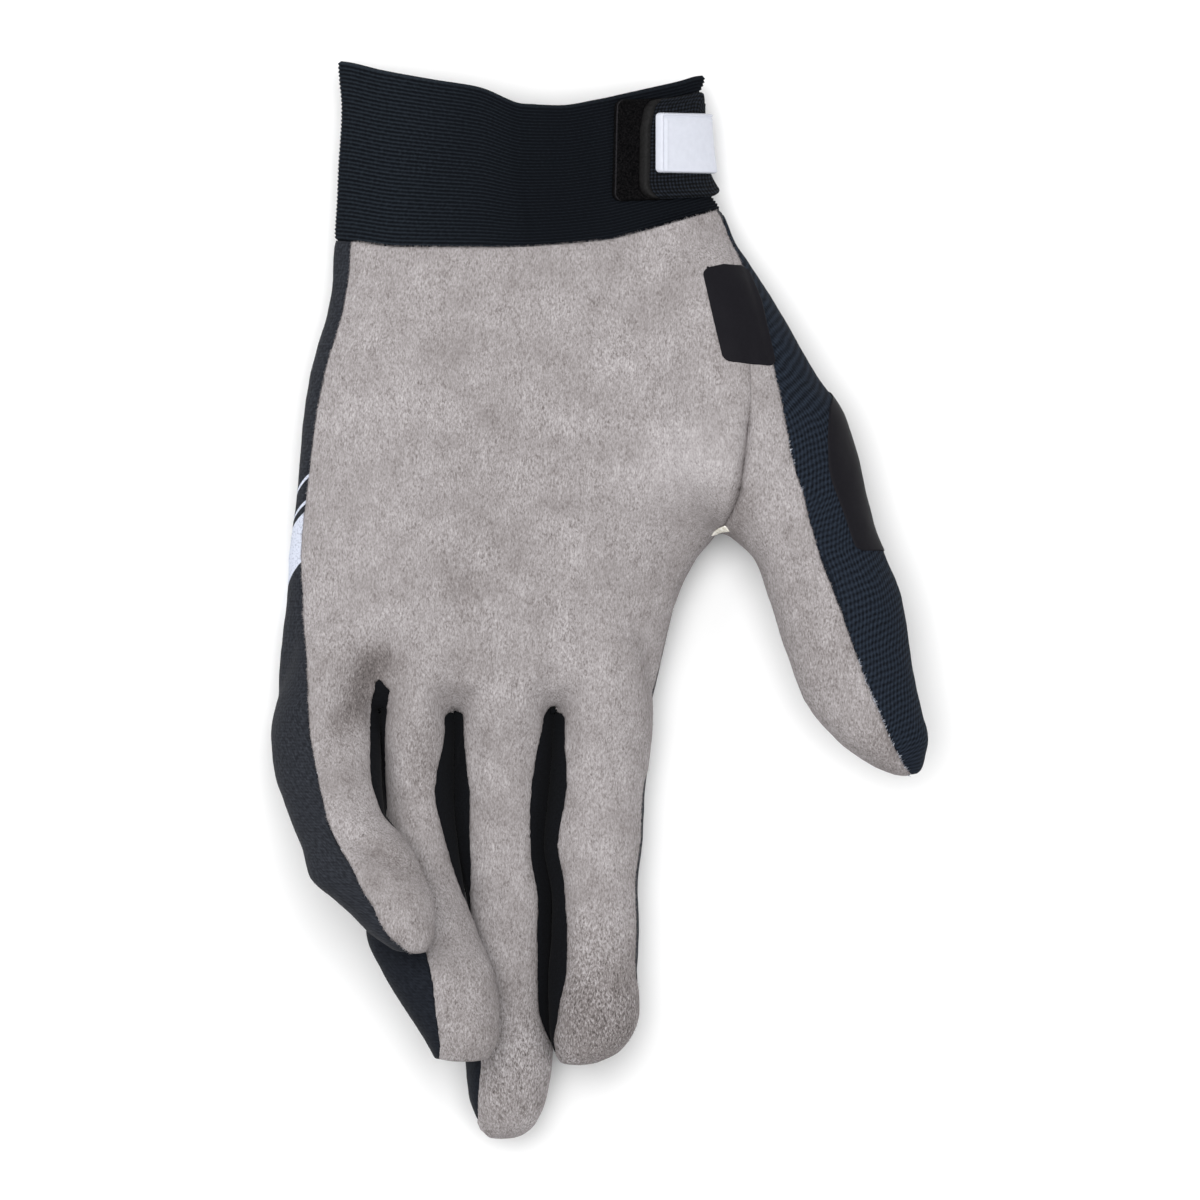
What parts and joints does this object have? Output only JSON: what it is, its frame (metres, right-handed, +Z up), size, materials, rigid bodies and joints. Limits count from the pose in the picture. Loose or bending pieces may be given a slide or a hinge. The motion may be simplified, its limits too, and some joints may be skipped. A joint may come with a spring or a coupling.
{
  "type": "motocross glove",
  "caption": "Left hand glove with a suede palm, ribbed mesh back and thumb, slip-on knit cuff, and a hook and loop wrist strap, lying palm up.",
  "frame": {"origin": "on the surface that the glove lies on, under the middle of its outline", "axes": "+Z up out of the palm, +Y from the fingertips to the cuff, +X towards the thumb"},
  "size_m": [0.146, 0.2405, 0.046],
  "materials": {
    "suede": "warm grey microfibre suede, brushed, matte and mottled",
    "mesh": "navy black stretch fabric with fine ribs and grain",
    "knit": "navy black elastic knit with fine cross ribs",
    "loop": "black napped loop fastener",
    "strap": "black woven strap with a bound edge",
    "rubber": "white moulded soft rubber, satin",
    "label": "smooth dark printed film, plain",
    "guard": "smooth dark rubberised patch"
  },
  "bodies": {
    "root": {"palm_panel": "suede", "thumb_palm": "suede", "thumb_back": "mesh", "back_panel": "mesh", "pinky_front": "suede", "pinky_back": "mesh", "ring_front": "suede", "ring_back": "mesh", "middle_front": "suede", "middle_back": "mesh", "index_front": "suede", "index_back": "mesh", "fourchette_pinky_ring": "mesh", "fourchette_ring_middle": "mesh", "fourchette_middle_index": "mesh", "cuff": "knit", "loop_patch": "loop", "closure_strap": "strap", "badge": "rubber", "side_label": "label", "thumb_guard": "guard"}
  },
  "joints": []
}
